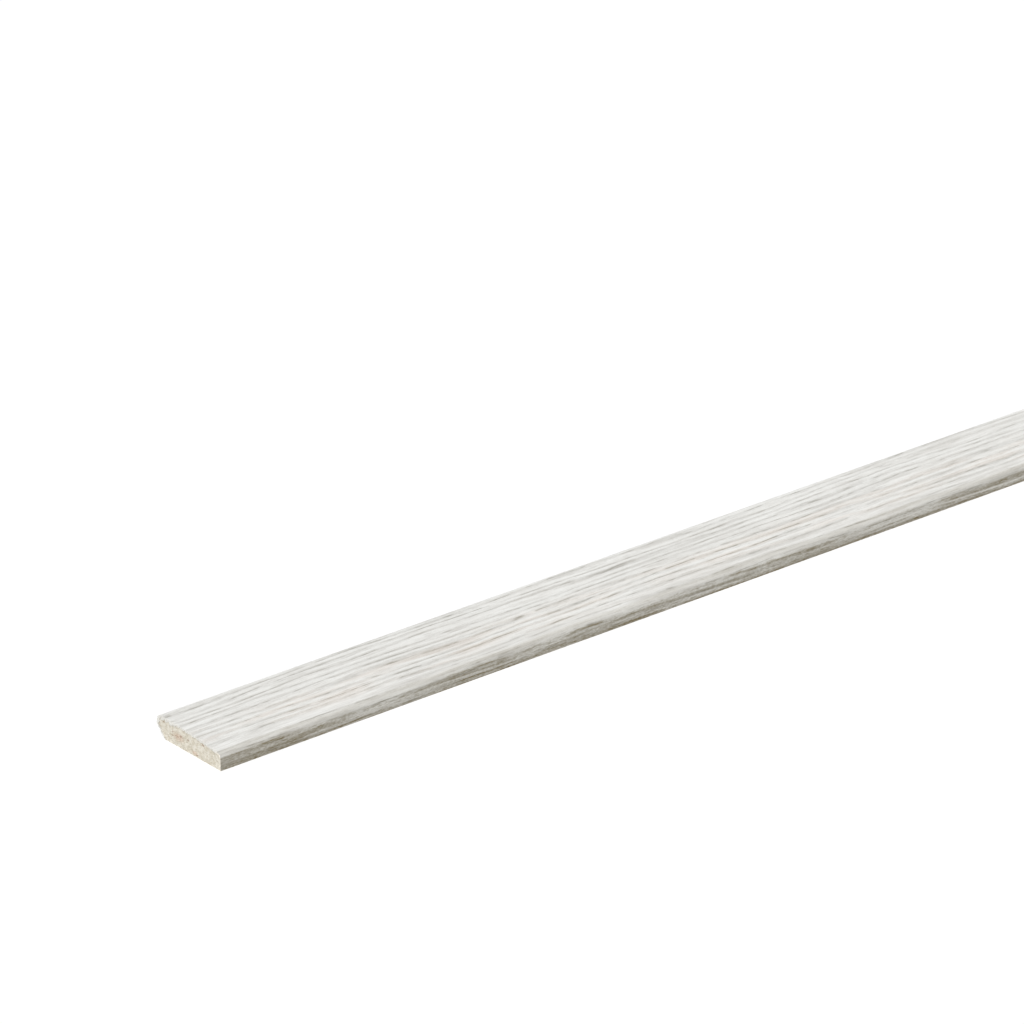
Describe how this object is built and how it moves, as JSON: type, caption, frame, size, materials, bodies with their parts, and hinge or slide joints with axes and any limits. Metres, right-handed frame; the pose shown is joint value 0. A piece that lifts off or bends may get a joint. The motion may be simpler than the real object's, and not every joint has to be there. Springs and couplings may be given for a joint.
{
  "type": "skirting board",
  "caption": "Foil-wrapped skirting board with a shallow arched face, a thin rounded upper edge and a thick floor edge with a sloped undercut behind it.",
  "frame": {"origin": "on the back face, halfway along the board and midway between its two edges", "axes": "+X along the board, +Y from the thin upper edge towards the thick floor edge, +Z out of the back towards the face"},
  "size_m": [2.4, 0.06, 0.014],
  "materials": {
    "fibreboard": "matte",
    "oak_decor_foil": "satin"
  },
  "bodies": {
    "root": {"core": "fibreboard", "decor_foil": "oak_decor_foil"}
  },
  "joints": []
}
